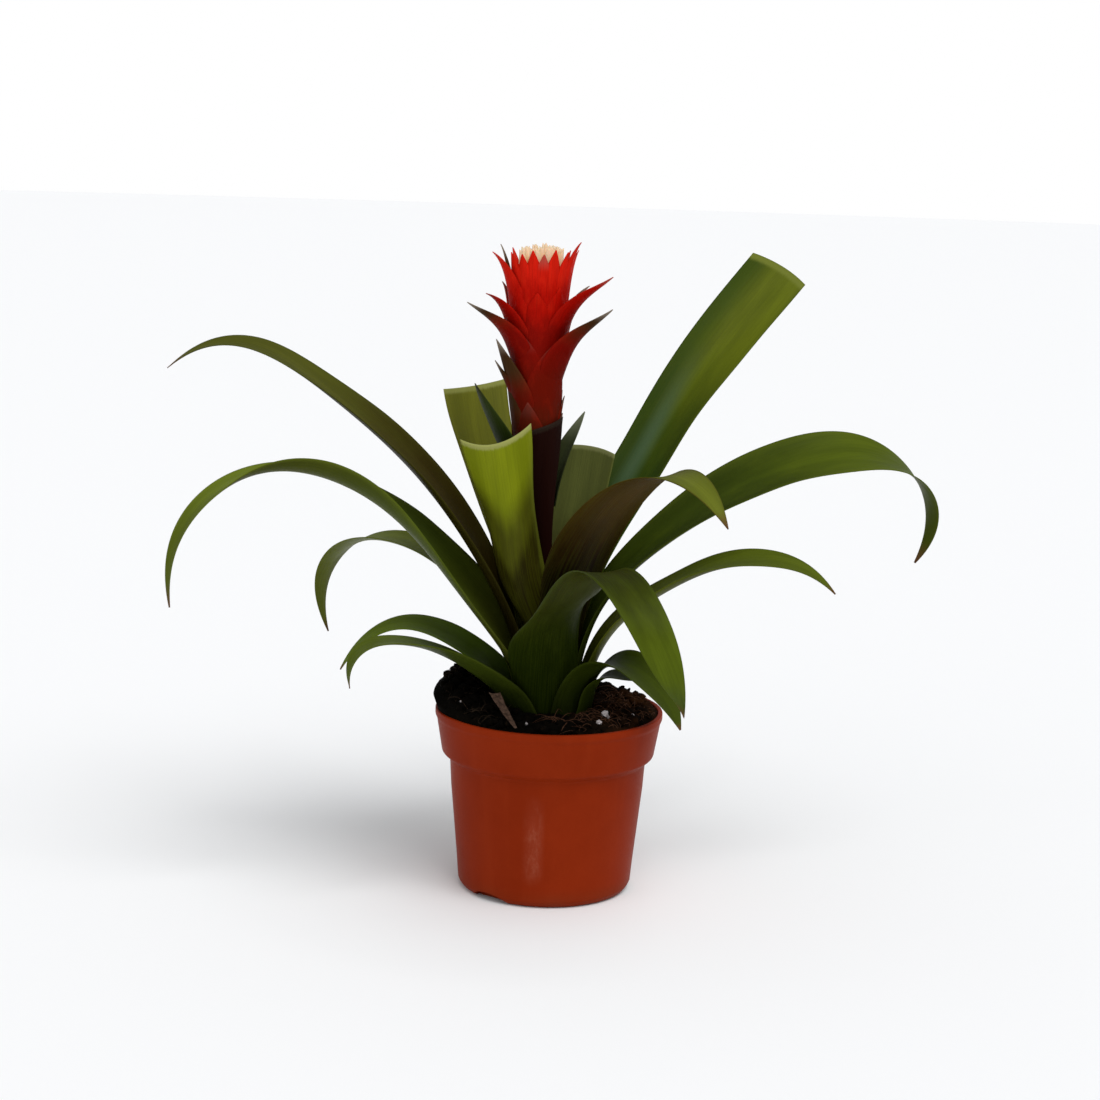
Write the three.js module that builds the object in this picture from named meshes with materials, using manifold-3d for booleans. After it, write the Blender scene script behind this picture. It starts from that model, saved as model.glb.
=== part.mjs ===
// Potted guzmania: a rosette of strap leaves round a red flower spike, in a 9 cm nursery pot.
// Units are millimetres, +Z is up, the front is -Y, and the origin is the middle of the pot's foot.
// Azimuths are degrees, seen from above: 0 is right (+X), 90 is back, 180 is left, 270 is front.
import * as THREE from 'three';
import { mergeVertices } from 'three/addons/utils/BufferGeometryUtils.js';
import Module from 'manifold-3d';

const wasm = await Module();
wasm.setup();
const { Manifold, Mesh } = wasm;

// Driving dimensions

const pot = {
  height: 72, rimRadius: 45, wall: 1.2, floor: 1.5, segments: 40,
  collarFoot: 54.5,       // height where the wide collar ends
  shoulder: 52,           // height where the body begins, below the collar's bevel
  notchWidth: 17, notchHeight: 3.4, notchReach: 39, notchAzimuths: [230, 350, 110],
  drainRadius: 20, drainHole: 3, drainHoles: 6,
};
const soil = {
  clearance: 0.35, floor: 2.1, floorRadius: 31.2, sectors: 40,
  hole: 17.2, holeTop: 21.6, holeFloor: 61.5,    // the pit round the leaf bases
  heap: 11, heapAzimuth: 166, heapSpread: 38,
  overhang: 3.2, overhangAzimuth: 186, overhangSpread: 24,    // where the heap reaches over the rim
};
const base = 62;          // height where every leaf starts, down in the soil
const layer = { inner: 4.7, step: 1.25 };  // radius of the innermost leaf base, and of each layer outside it
const leafThickness = 0.8, edgeThickness = 0.6, tipWidth = 1.2;
const stalk = { radius: 3.2, top: 149.7, drift: -8.9, driftHeight: 140 };   // drift: sideways

// One entry a leaf. layer: 0 is innermost. length, width: of the blade, along and across.
// lean: angle from the vertical at even steps from base to tip. roll: twist at the middle and the tip.
// channel: half the angle that the blade's hollow section turns through. open: share of the length
// where the wrapped base has become a blade. cut: the leaf was trimmed and has no point; slant and dip
// tilt and hollow the trimmed end. rolls, bends, widths: twist, half angle of the hollow section and
// width at even steps from base to tip, in place of roll, channel and width.
const leaves = {
  leaf_left_high: { azimuth: 184, layer: 4, length: 230, width: 27, wrap: 48, channel: 45,
    roll: [-14, -20], lean: [0, 22, 35.1, 49.3, 62.3, 131] },
  leaf_left_long: { azimuth: 191, swing: 4, layer: 5, length: 228, rolls: [0, -24, -13, 13, -8, -28],
    bends: [44, 44, 43, 51, 24, 24], widths: [16, 32.5, 31, 27, 27, 27], lean: [0, 35.4, 44.4, 73, 130, 185] },
  leaf_left_back: { azimuth: 155, swing: -13, layer: 6, length: 179, width: 24, channel: 27, open: 0.23,
    lean: [0, 28.7, 59.3, 92.5, 135, 189] },
  leaf_left_low_back: { azimuth: 170, swing: 11, layer: 8, length: 98, width: 19, channel: 12, open: 0.44,
    roll: [-13, -11], lean: [0, 31.5, 56.8, 76.8, 122, 151], rows: 12 },
  leaf_left_low_front: { azimuth: 203, swing: 9, layer: 9, length: 101, width: 24, channel: 24, open: 0.66,
    roll: [2, 4], lean: [0, 45, 58, 74, 100, 184], rows: 12 },
  leaf_front_cut: { azimuth: 228, swing: -3, layer: 2, length: 126, rolls: [0, -3, 14, 29, 41],
    bends: [62, 73, 74, 60, 30], widths: [15, 22.6, 27, 25, 29], lean: [0, 2, 32, 11, 12, 11],
    cut: true, slant: 1.7, dip: 4 },
  leaf_left_cut_back: { azimuth: 132, swing: -10, layer: 3, length: 147, width: 32, wrap: 48, channel: 49,
    roll: [9, 6], lean: [0, 8, 32, 33, 33, 31], cut: true, slant: -5 },
  leaf_right_cut_back: { azimuth: 63, swing: 3, layer: 1, length: 114, width: 24, wrap: 44, channel: 52,
    open: 0.6, roll: [-2, -4], lean: [0, 0, 14, 22, 24, 22], cut: true, slant: 1.5, dip: -2 },
  leaf_right_cut_high: { azimuth: 45.5, layer: 2, length: 227, width: 26, wrap: 46, channel: 39, open: 0.42,
    roll: [12, 45], lean: [0, 15, 40.6, 39.7, 48.7, 51.7], cut: true, slant: -1.5, dip: -3 },
  leaf_right_front_dark: { azimuth: -66.5, swing: 10.5, layer: 3, length: 180, width: 38, wrap: 44, channel: 20,
    open: 0.63, roll: [10, 3], lean: [0, 10, 33.5, 49, 79, 152] },
  leaf_right_long: { azimuth: 7, swing: 10, layer: 4, length: 246, width: 34, wrap: 48, open: 0.7,
    rolls: [0, 3, 10, 18, 27, 32, 5, -40], lean: [0, 14, 43.2, 55.8, 69, 91, 140, 208], rows: 18 },
  leaf_right_mid: { azimuth: 2, swing: -2, layer: 7, length: 143, width: 22, wrap: 46, channel: 36, open: 0.4,
    roll: [-1, 37], lean: [0, 19, 52, 65, 94, 137] },
  leaf_front_right: { azimuth: -91, swing: 23, layer: 6, length: 205, rolls: [0, 26, 23, 8, -4, 58],
    bends: [55, 50, 14, 15, 12, 9], widths: [23, 34, 25, 23, 29, 32], lean: [0, 43, 66, 61, 149, 228],
    rows: 18 },
  leaf_right_front_low: { azimuth: -35, swing: -2, layer: 8, length: 79, width: 27, channel: 34,
    roll: [1, 10], lean: [0, 11, 54, 107, 127, 151], rows: 12 },
  leaf_front_right_small: { azimuth: -20, swing: 2, layer: 9, length: 41, width: 17, wrap: 40, channel: 26,
    roll: [-1, 16], lean: [0, 6, 12, 48, 95, 98], rows: 9 },
  leaf_back_mid: { azimuth: 82, layer: 5, length: 164, width: 25, wrap: 50, lean: [0, 16, 37, 74, 119, 153] },
  leaf_back_wide: { azimuth: 98, layer: 7, length: 122, width: 24, wrap: 48, channel: 24,
    lean: [0, 26, 44, 78, 116, 145] },
  leaf_back_low: { azimuth: 83, layer: 9, length: 82, width: 21, wrap: 38, lean: [0, 15, 47, 82, 119, 148],
    rows: 12 },
  leaf_inner_dark: { azimuth: -98, swing: 40, layer: 0.4, length: 124, bends: [44, 36, 26, 24, 30, 42],
    widths: [8, 7, 6.5, 6.5, 10, 14.5], lean: [0, 0, 3, 4.5, 3.5, 2], cut: true, slant: 3, onStalk: true,
    rows: 10 },
};

// Small leaves that clasp the stalk under the flower head. foot, hug, tip: radius and height where
// the centre line starts, bends and ends.
const stalkBracts = {
  stalk_bract_left: { azimuth: 207, foot: [5.5, 150], hug: [11.6, 170], tip: [26.2, 201], width: 20 },
  stalk_bract_right: { azimuth: 45, foot: [6, 152], hug: [11, 168], tip: [27, 188], width: 9.5 },
};

// The flower head: radius and height of its core, then its bracts from the lowest to the crown, each with
// azimuth, foot height, tip radius, tip height, width and how late it leaves the head (0 to 1)
const headCore = [[4.2, 150], [6.2, 158], [7.5, 168], [7.8, 186], [8.3, 200], [9.8, 212], [10.2, 222],
  [9.8, 234], [7.8, 238]];
const headBracts = [
  [252, 151, 10, 194, 17, 0.7], [18, 151, 10.6, 198, 17, 0.7], [132, 151, 11, 196, 18, 0.7],
  [198, 158, 12.4, 207, 13, 0.62], [1, 170, 11, 196, 8, 0.7], [352, 166, 10.4, 189.5, 8, 0.7],
  [202, 184, 17.3, 209.5, 11, 0.56], [216, 178, 19.3, 218, 18, 0.56], [298, 176, 12.3, 216, 19, 0.7],
  [246, 180, 12.1, 219, 18, 0.7], [62, 176, 14, 214, 19, 0.7], [112, 180, 17, 221, 18, 0.8],
  [324, 189, 34.7, 231.2, 20, 0.76], [218, 199, 33.8, 232.3, 17, 0.79], [268, 197, 12.5, 236, 18, 0.7],
  [310, 199, 12.5, 238, 17, 0.7], [228, 199, 12.6, 237, 16, 0.7], [28, 198, 22, 238, 17, 0.84],
  [76, 196, 24, 234, 17, 0.86], [124, 198, 23, 237, 17, 0.86], [327, 207, 33.2, 243.2, 16, 0.77],
  [216, 204, 24.6, 235.4, 17, 0.88], [158, 203, 15.5, 239, 15, 0.86], [214, 212, 21.6, 251, 15, 0.84],
  [166, 214, 15.8, 253.4, 9, 0.8], [332, 213, 17.6, 255.4, 13, 0.84], [222, 213, 14.6, 251, 12, 0.74],
  [241, 212, 13.8, 250.5, 12, 0.74], [259, 212, 13.6, 252, 12, 0.74], [277, 212, 13.6, 250.6, 12, 0.74],
  [296, 212, 13.8, 252.4, 12, 0.74], [318, 213, 14.4, 251.6, 12, 0.74], [10, 214, 15, 252, 9, 0.8],
  [38, 214, 14.8, 251.5, 10, 0.8], [72, 214, 15, 252.5, 10, 0.8], [104, 214, 15.2, 251.5, 10, 0.8],
  [136, 214, 15, 252, 10, 0.8],
];
const flowers = { count: 9, ring: 5.4, radius: 1.9, base: 238.6, top: 254 };

const straw = {
  foot: [-12.4, -39], top: [-21.2, -26],    // X and Y of its two ends
  rise: 10, width: 4.6, thickness: 0.8, clearance: 0.3,
};

const colours = {
  pot: '#a8461f', soil: '#1d1512', leaf: '#4d6b1c', leafPale: '#8c9f2e', leafDark: '#3b2420',
  stalk: '#7a2016', bract: '#c21a0c', bractDark: '#38451f', flower: '#f0dcc0', straw: '#a3846b',
};

// Helpers

const rad = THREE.MathUtils.degToRad;
const smooth = (x) => THREE.MathUtils.smoothstep(x, 0, 1);
const mix = THREE.MathUtils.lerp;
const bell = (angle, centre, spread) => {
  const off = ((angle - centre + 540) % 360) - 180;
  return Math.exp(-((off / spread) ** 2));
};

// Value at t (0 to 1) on a smooth curve through evenly spaced stations
function along(stations, t) {
  const last = stations.length - 1;
  const i = Math.min(Math.floor(t * last), last - 1);
  const w = t * last - i;
  const at = (k) => stations[THREE.MathUtils.clamp(k, 0, last)];
  const [p0, p1, p2, p3] = [at(i - 1), at(i), at(i + 1), at(i + 2)];
  const [v0, v1] = [(p2 - p0) / 2, (p3 - p1) / 2];
  return (2 * p1 - 2 * p2 + v0 + v1) * w ** 3 + (3 * p2 - 3 * p1 - 2 * v0 - v1) * w ** 2 + v0 * w + p1;
}

// Closed solid from a flat list of corners and a list of triangles
function solid(corners, triangles) {
  const geometry = new THREE.BufferGeometry();
  geometry.setAttribute('position', new THREE.Float32BufferAttribute(corners.flat(), 3));
  geometry.setIndex(triangles.flat());
  return geometry;
}

function toManifold(geometry) {
  return new Manifold(new Mesh({
    numProp: 3,
    vertProperties: new Float32Array(geometry.attributes.position.array),
    triVerts: new Uint32Array(geometry.index.array),
  }));
}

// Cylinder along Z, with its middle at the origin
function cylinder(radius, height, segments) {
  const geometry = new THREE.CylinderGeometry(radius, radius, height, segments).rotateX(Math.PI / 2);
  geometry.deleteAttribute('normal');
  geometry.deleteAttribute('uv');
  return toManifold(mergeVertices(geometry));
}

function fromManifold(body) {
  const mesh = body.getMesh();
  const geometry = new THREE.BufferGeometry();
  geometry.setAttribute('position', new THREE.BufferAttribute(mesh.vertProperties.slice(), 3));
  geometry.setIndex(new THREE.BufferAttribute(mesh.triVerts.slice(), 1));
  return geometry;
}

// Solid of revolution with rings of points closed by a pole at each end.
// rings: [radius, height] from the bottom pole to the top pole, both may depend on the azimuth.
function revolve(rings, sectors, shift = () => 0) {
  const corners = [], triangles = [];
  const point = (r, z, angle) => {
    const [reach, height] = [r, z].map((value) => (typeof value === 'function' ? value(angle) : value));
    return [reach * Math.cos(rad(angle)) + shift(height), reach * Math.sin(rad(angle)), height];
  };
  const start = point(0, rings[0][1], 0), end = point(0, rings.at(-1)[1], 0);
  const inner = rings.slice(1, -1);
  corners.push(start);
  for (const [r, z] of inner) {
    for (let i = 0; i < sectors; i++) corners.push(point(r, z, (360 * i) / sectors));
  }
  corners.push(end);
  const at = (ring, i) => 1 + ring * sectors + (i % sectors);
  for (let i = 0; i < sectors; i++) {
    triangles.push([0, at(0, i + 1), at(0, i)]);
    for (let ring = 0; ring < inner.length - 1; ring++) {
      const [a, b, c, d] = [at(ring, i), at(ring, i + 1), at(ring + 1, i + 1), at(ring + 1, i)];
      triangles.push([a, b, c], [a, c, d]);
    }
    triangles.push([at(inner.length - 1, i), at(inner.length - 1, i + 1), corners.length - 1]);
  }
  return solid(corners, triangles);
}

// Radius and height of a strip's centre line at even steps, along a Bezier path or after its lean angles
function centreLine(spec, steps) {
  if (spec.path) {
    const curve = new THREE.CubicBezierCurve(...spec.path.map(([r, z]) => new THREE.Vector2(r, z)));
    return curve.getSpacedPoints(steps);
  }
  const line = [new THREE.Vector2(spec.radius, base)];
  for (let k = 0; k < steps; k++) {
    const tilt = rad(along(spec.lean, (k + 0.5) / steps));
    const step = new THREE.Vector2(Math.sin(tilt), Math.cos(tilt)).multiplyScalar(spec.length / steps);
    line.push(step.add(line[k]));
  }
  return line;
}

// Leaf or bract: a channelled strip that rises from a clasping base and leans outwards
function strip(spec) {
  const {
    azimuth, swing = 0, width, wrap = 56, channel = 30, open = 0.35, roll = [0, 0], cut = false,
    slant = 0, dip = 0, taperFrom = 0.4, taperPower = 1.8, thickness = leafThickness, edge = edgeThickness,
    rows = 15, columns = 6, shift = () => 0, flatten = 0.6, flattest = 8,
  } = spec;
  const fine = 8;                       // steps of the centre line for each row of the mesh
  const steps = rows * fine;
  const path = centreLine(spec, steps);
  const centres = path.map(({ x: r, y: z }, k) => {
    const turn = rad(azimuth + swing * (k / steps) ** 2);
    return new THREE.Vector3(r * Math.cos(turn) + shift(z), r * Math.sin(turn), z);
  });
  const upper = [], lower = [];
  for (let row = 0; row <= rows; row++) {
    const t = row / rows, k = row * fine;
    const tangent = centres[Math.min(k + 1, steps)].clone().sub(centres[Math.max(k - 1, 0)]).normalize();
    const turn = rad(azimuth + swing * t * t);
    const side = new THREE.Vector3(-Math.sin(turn), Math.cos(turn), 0);
    side.addScaledVector(tangent, -side.dot(tangent)).normalize();
    const inward = new THREE.Vector3().crossVectors(tangent, side);
    const twist = rad(spec.rolls ? along(spec.rolls, t)
      : t < 0.5 ? roll[0] * smooth(2 * t) : mix(roll[0], roll[1], smooth(2 * t - 1)));
    const across = side.clone().multiplyScalar(Math.cos(twist)).addScaledVector(inward, Math.sin(twist));
    const face = inward.clone().multiplyScalar(Math.cos(twist)).addScaledVector(side, -Math.sin(twist));
    const grown = smooth(t / open);
    const bend = spec.bends ? rad(Math.max(along(spec.bends, t), flattest))
      : mix(rad(wrap), rad(channel), grown) * (1 - flatten * smooth((t - 0.45) / 0.55));
    const full = spec.widths ? along(spec.widths, t) : mix(2 * rad(wrap) * path[0].x, width, grown);
    const taper = cut ? 0 : Math.max(0, (t - taperFrom) / (1 - taperFrom));
    const breadth = full * (1 - taper ** taperPower) + tipWidth * taper;
    const bow = breadth / (2 * bend);
    for (let column = 0; column <= columns; column++) {
      const q = (2 * column) / columns - 1;
      const trim = (slant * q + dip * (q * q - 1)) * smooth((t - 0.75) / 0.25);
      const [sin, cos] = [Math.sin(bend * q), Math.cos(bend * q)];
      const middle = centres[k].clone().addScaledVector(tangent, trim)
        .addScaledVector(across, bow * sin).addScaledVector(face, bow * (1 - cos));
      const normal = face.clone().multiplyScalar(cos).addScaledVector(across, -sin);
      const half = mix(mix(thickness, edge, q * q), edge, cut ? 0 : t ** 3) / 2;
      upper.push(middle.clone().addScaledVector(normal, half).toArray());
      lower.push(middle.clone().addScaledVector(normal, -half).toArray());
    }
  }
  const n = upper.length, line = columns + 1;
  const triangles = [];
  const quad = (a, b, c, d) => triangles.push([a, b, c], [a, c, d]);
  for (let row = 0; row < rows; row++) {
    for (let column = 0; column < columns; column++) {
      const a = row * line + column;
      quad(a, a + 1, a + line + 1, a + line);
      quad(n + a + line, n + a + line + 1, n + a + 1, n + a);
    }
    const a = row * line, b = a + columns;
    quad(a, a + line, n + a + line, n + a);
    quad(b + line, b, n + b, n + b + line);
  }
  for (let column = 0; column < columns; column++) {
    const top = rows * line + column;
    quad(column + 1, column, n + column, n + column + 1);
    quad(top, top + 1, n + top + 1, n + top);
  }
  return solid([...upper, ...lower], triangles.map(([a, b, c]) => [a, c, b]));
}

// The pot: one thin wall with a wide collar, a flat floor, drain holes and notches in the bottom corner

function outerRadius(z) {
  const profile = [[0, 31.6], [0.8, 33.2], [2.6, 34.4], [12, 35.2], [25, 36.5], [41, 38.1],
    [pot.shoulder, 38.8], [pot.collarFoot, 42], [68, 44.3], [69.5, 45], [pot.height, pot.rimRadius]];
  const i = Math.max(1, profile.findIndex(([height]) => height >= z));
  const [[z0, r0], [z1, r1]] = [profile[i - 1], profile[i]];
  return mix(r0, r1, (z - z0) / (z1 - z0));
}
const innerRadius = (z) => outerRadius(z) - (z > 69 ? pot.wall + 0.7 : pot.wall);

function buildPot() {
  const outside = [0, 0.8, 2.6, 12, 25, 41, pot.shoulder, pot.collarFoot, 68, 69.5, pot.height];
  const inside = [pot.height, 68, pot.collarFoot - 0.4, pot.shoulder - 1.2, 41, 25, 12, 3.2, pot.floor];
  const rings = [[0, 0], ...outside.map((z) => [outerRadius(z), z]),
    ...inside.map((z) => [z === pot.floor ? 32 : innerRadius(z), z]), [0, pot.floor]];
  let body = toManifold(revolve(rings, pot.segments));
  for (const azimuth of pot.notchAzimuths) {
    const notch = cylinder(pot.notchWidth / 2, 20, 16)
      .rotate([0, 90, 0]).scale([1, 1, (2 * pot.notchHeight) / pot.notchWidth])
      .translate([pot.notchReach, 0, 0]).rotate([0, 0, azimuth]);
    body = body.subtract(notch);
  }
  for (let i = 0; i < pot.drainHoles; i++) {
    const hole = cylinder(pot.drainHole, 20, 12)
      .translate([pot.drainRadius, 0, 0]).rotate([0, 0, (360 * (i + 0.5)) / pot.drainHoles]);
    body = body.subtract(hole);
  }
  return fromManifold(body);
}

// The soil fills the pot and is heaped up at the left and the back

function soilHeight(r, azimuth) {
  const x = r * Math.cos(rad(azimuth)), y = r * Math.sin(rad(azimuth));
  const reach = (r - soil.holeTop) / (innerRadius(70) - soil.holeTop);
  const heap = soil.heap * bell(azimuth, soil.heapAzimuth, soil.heapSpread)
    * Math.sin(Math.PI * Math.min(1, 0.2 + 0.45 * reach)) ** 2;
  const dome = 1.4 + 1.6 * bell(azimuth, 60, 70) - 1.6 * reach ** 3 * (1 - bell(azimuth, 158, 50));
  return pot.height + heap + dome + 0.5 * Math.sin(0.31 * x + 1) * Math.cos(0.37 * y);
}

function buildSoil() {
  const edge = (z) => innerRadius(z) - soil.clearance;
  const wall = [4, 12, 25, 41, pot.shoulder - 1.2, pot.collarFoot - 0.4, 68];
  const rim = edge(70);
  const lip = pot.height + soil.clearance;
  const spill = (azimuth) => soil.overhang * bell(azimuth, soil.overhangAzimuth, soil.overhangSpread);
  const rings = [[0, soil.floor], [soil.floorRadius, soil.floor], ...wall.map((z) => [edge(z), z]),
    [rim, (azimuth) => Math.min(lip, soilHeight(rim, azimuth) - 0.6)],
    [(azimuth) => rim + spill(azimuth), (azimuth) => soilHeight(rim, azimuth)],
    ...[39, 35, 31, 27, 24, soil.holeTop].map((r) => [r, (azimuth) => soilHeight(r, azimuth)]),
    [soil.hole, soil.holeFloor], [0, soil.holeFloor]];
  return revolve(rings, soil.sectors);
}

// A dry scrap of leaf in front, its narrow end on the soil and its wide end against a leaf

function buildStraw() {
  const steps = 6, corners = [], triangles = [];
  const [foot, top] = [straw.foot, straw.top].map(([x, y]) => new THREE.Vector2(x, y));
  const way = top.clone().sub(foot).normalize();
  const ground = soilHeight(foot.length(), THREE.MathUtils.radToDeg(foot.angle())) + straw.clearance;
  for (let i = 0; i <= steps; i++) {
    const t = i / steps;
    const centre = foot.clone().lerp(top, t);
    const half = mix(tipWidth, straw.width, t ** 0.7) / 2;
    const z = ground + straw.rise * t;
    for (const side of [-1, 1]) {
      const x = centre.x - way.y * side * half, y = centre.y + way.x * side * half;
      corners.push([x, y, z], [x, y, z + straw.thickness]);
    }
  }
  const quad = (a, b, c, d) => triangles.push([a, b, c], [a, c, d]);
  for (let i = 0; i < steps; i++) {
    const a = 4 * i;
    quad(a, a + 2, a + 6, a + 4);
    quad(a + 1, a + 5, a + 7, a + 3);
    quad(a, a + 4, a + 5, a + 1);
    quad(a + 2, a + 3, a + 7, a + 6);
  }
  quad(0, 1, 3, 2);
  quad(4 * steps, 4 * steps + 2, 4 * steps + 3, 4 * steps + 1);
  return solid(corners, triangles);
}

// The stalk, the bracts on it and the flower head

const stalkShift = (z) => stalk.drift * smooth((z - base) / stalk.driftHeight);

function buildStalk() {
  const rings = [75, 90, 105, 120, 135].map((z) => [stalk.radius, z]);
  return revolve([[0, base], [stalk.radius, base], ...rings, [stalk.radius, stalk.top], [0, stalk.top]],
    12, stalkShift);
}

function headRadius(z) {
  const i = Math.max(1, headCore.findIndex(([, height]) => height >= z));
  const [[r0, z0], [r1, z1]] = [headCore[i - 1], headCore[i]];
  return mix(r0, r1, (z - z0) / (z1 - z0));
}

// A bract that hugs the head and then leans out to its tip
function buildBract([azimuth, foot, tipRadius, tipHeight, width, leave]) {
  const rise = tipHeight - foot;
  const hug = headRadius(foot + 0.45 * rise) + 1.1;
  const close = smooth((16 - tipRadius) / 3), spread = smooth((tipRadius - 24) / 6);
  return strip({
    azimuth, width, wrap: 48, channel: 52, open: 0.5, flatten: 0.4, thickness: 0.9,
    rows: rise > 40 ? 5 : 4, columns: 2,
    taperFrom: mix(0.36, 0.5, close), taperPower: mix(1.2, 1.8, close), shift: stalkShift,
    path: [[headRadius(foot) - 0.4, foot], [hug, foot + mix(0.42, 0.7, spread) * rise],
      [mix(hug, tipRadius, mix(0.14, 0.5, spread)), foot + leave * rise], [tipRadius, tipHeight]],
  });
}

function buildHead() {
  const [foot, top] = [headCore[0][1], headCore.at(-1)[1]];
  const rings = headCore.map(([r, z]) => [r + 0.8 * smooth((z - foot) / 12), z]);
  let body = toManifold(revolve([[0, foot], ...rings, [0, top]], 14, stalkShift));
  for (const bract of headBracts) body = body.add(toManifold(buildBract(bract)));
  const [outside] = body.decompose().sort((a, b) => b.volume() - a.volume());    // closed pockets are filled
  return fromManifold(outside);
}

function buildFlowers() {
  const dome = revolve([[0, flowers.base], [flowers.ring + 1, flowers.base],
    [flowers.ring + 0.6, flowers.base + 1.6], [2, flowers.base + 3], [0, flowers.base + 3.2]], 12, stalkShift);
  let body = toManifold(dome);
  for (let i = 0; i < flowers.count; i++) {
    const ring = i < flowers.count - 2 ? flowers.ring : 1.6;
    const azimuth = (360 * i) / (flowers.count - 2);
    const height = flowers.top - flowers.base - (i % 3);
    const tube = revolve([[0, 0], [flowers.radius, 0], [flowers.radius, 0.6 * height],
      [flowers.radius * 0.8, 0.85 * height], [0, height]], 7);
    body = body.add(toManifold(tube).rotate([0, 5, azimuth]).translate([
      ring * Math.cos(rad(azimuth)) + stalkShift(flowers.base + 8), ring * Math.sin(rad(azimuth)),
      flowers.base + 0.8]));
  }
  return fromManifold(body);
}

// Assembly

const group = new THREE.Group();
group.name = 'potted_guzmania';

function add(name, geometry, colour, roughness = 0.55) {
  const material = new THREE.MeshStandardMaterial({ color: colour, roughness, metalness: 0 });
  geometry.computeVertexNormals();
  const mesh = new THREE.Mesh(geometry, material);
  mesh.name = name;
  group.add(mesh);
}

add('pot', buildPot(), colours.pot);
add('soil', buildSoil(), colours.soil, 0.95);
add('straw_scrap', buildStraw(), colours.straw, 0.8);
for (const [name, leaf] of Object.entries(leaves)) {
  const colour = { leaf_front_cut: colours.leafPale, leaf_inner_dark: colours.leafDark }[name] ?? colours.leaf;
  add(name, strip({ ...leaf, radius: layer.inner + layer.step * leaf.layer,
    shift: leaf.onStalk ? stalkShift : undefined }), colour, 0.4);
}
add('stalk', buildStalk(), colours.stalk);
for (const [name, { azimuth, width, foot, hug, tip }] of Object.entries(stalkBracts)) {
  const bend = hug.map((value, i) => mix(value, tip[i], 0.4));
  add(name, strip({ azimuth, width, path: [foot, hug, bend, tip], wrap: 60, channel: 40, open: 0.6,
    thickness: 0.7, rows: 9, columns: 4, shift: stalkShift }), colours.bractDark);
}
add('head_bracts', buildHead(), colours.bract, 0.45);
add('flowers', buildFlowers(), colours.flower, 0.6);

export default group;
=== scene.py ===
# Potted guzmania: the fine shape and the finish of every piece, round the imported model.
# Sizes are named in millimetres and turned into metres by MM. +Z is up and the front is -Y.
# Azimuths are degrees, seen from above: 0 is right (+X), 90 is back, 180 is left, 270 is front.
import math

import bmesh
import bpy
import numpy as np
from mathutils import Matrix, Vector, noise


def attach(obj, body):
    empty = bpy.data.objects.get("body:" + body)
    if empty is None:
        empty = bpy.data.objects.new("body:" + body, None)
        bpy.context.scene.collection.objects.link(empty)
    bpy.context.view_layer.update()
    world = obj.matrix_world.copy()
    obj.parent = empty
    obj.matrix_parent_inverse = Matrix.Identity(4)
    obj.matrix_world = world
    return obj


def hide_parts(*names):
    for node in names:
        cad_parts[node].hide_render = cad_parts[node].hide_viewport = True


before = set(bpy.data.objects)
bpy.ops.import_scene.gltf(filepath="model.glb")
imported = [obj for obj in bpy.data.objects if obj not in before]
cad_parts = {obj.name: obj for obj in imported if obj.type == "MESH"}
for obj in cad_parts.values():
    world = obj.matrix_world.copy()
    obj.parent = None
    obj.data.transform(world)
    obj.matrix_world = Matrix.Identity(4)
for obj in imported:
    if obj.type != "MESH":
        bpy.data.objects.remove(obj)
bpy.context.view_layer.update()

MM = 0.001

# Driving dimensions, the same as the solids' own

POT = dict(height=72, rim_radius=45, wall=1.2, floor=1.5, collar_foot=54.5, shoulder=52, notch_width=17,
           notch_height=3.4, notch_reach=39, notch_azimuths=(230, 350, 110), drain_radius=20, drain_hole=3,
           drain_holes=6, painted_highlight_line=-4.5)
# Height and radius of the pot's outside, from the foot to the rim
POT_OUTSIDE = ((0, 31.6), (0.8, 33.2), (2.6, 34.4), (12, 35.2), (25, 36.5), (41, 38.1),
               (POT["shoulder"], 38.8), (POT["collar_foot"], 42), (68, 44.3), (69.5, 45),
               (POT["height"], POT["rim_radius"]))
# edge: height where the soil meets the wall. hole_top: radius of the pit that holds the leaf bases.
SOIL = dict(clearance=0.35, edge=70, hole_top=21.6, heap=11, heap_azimuth=166, heap_spread=38, overhang=3.2,
            overhang_azimuth=186, overhang_spread=24, crumbs=620, fibre_reach=42.3)
LEAF_BASE = 62          # height where every leaf starts, down in the soil
LAYER_INNER, LAYER_STEP = 4.7, 1.25
STALK = dict(radius=3.2, foot=62, top=149.7, drift=-8.9, drift_height=140)

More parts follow.
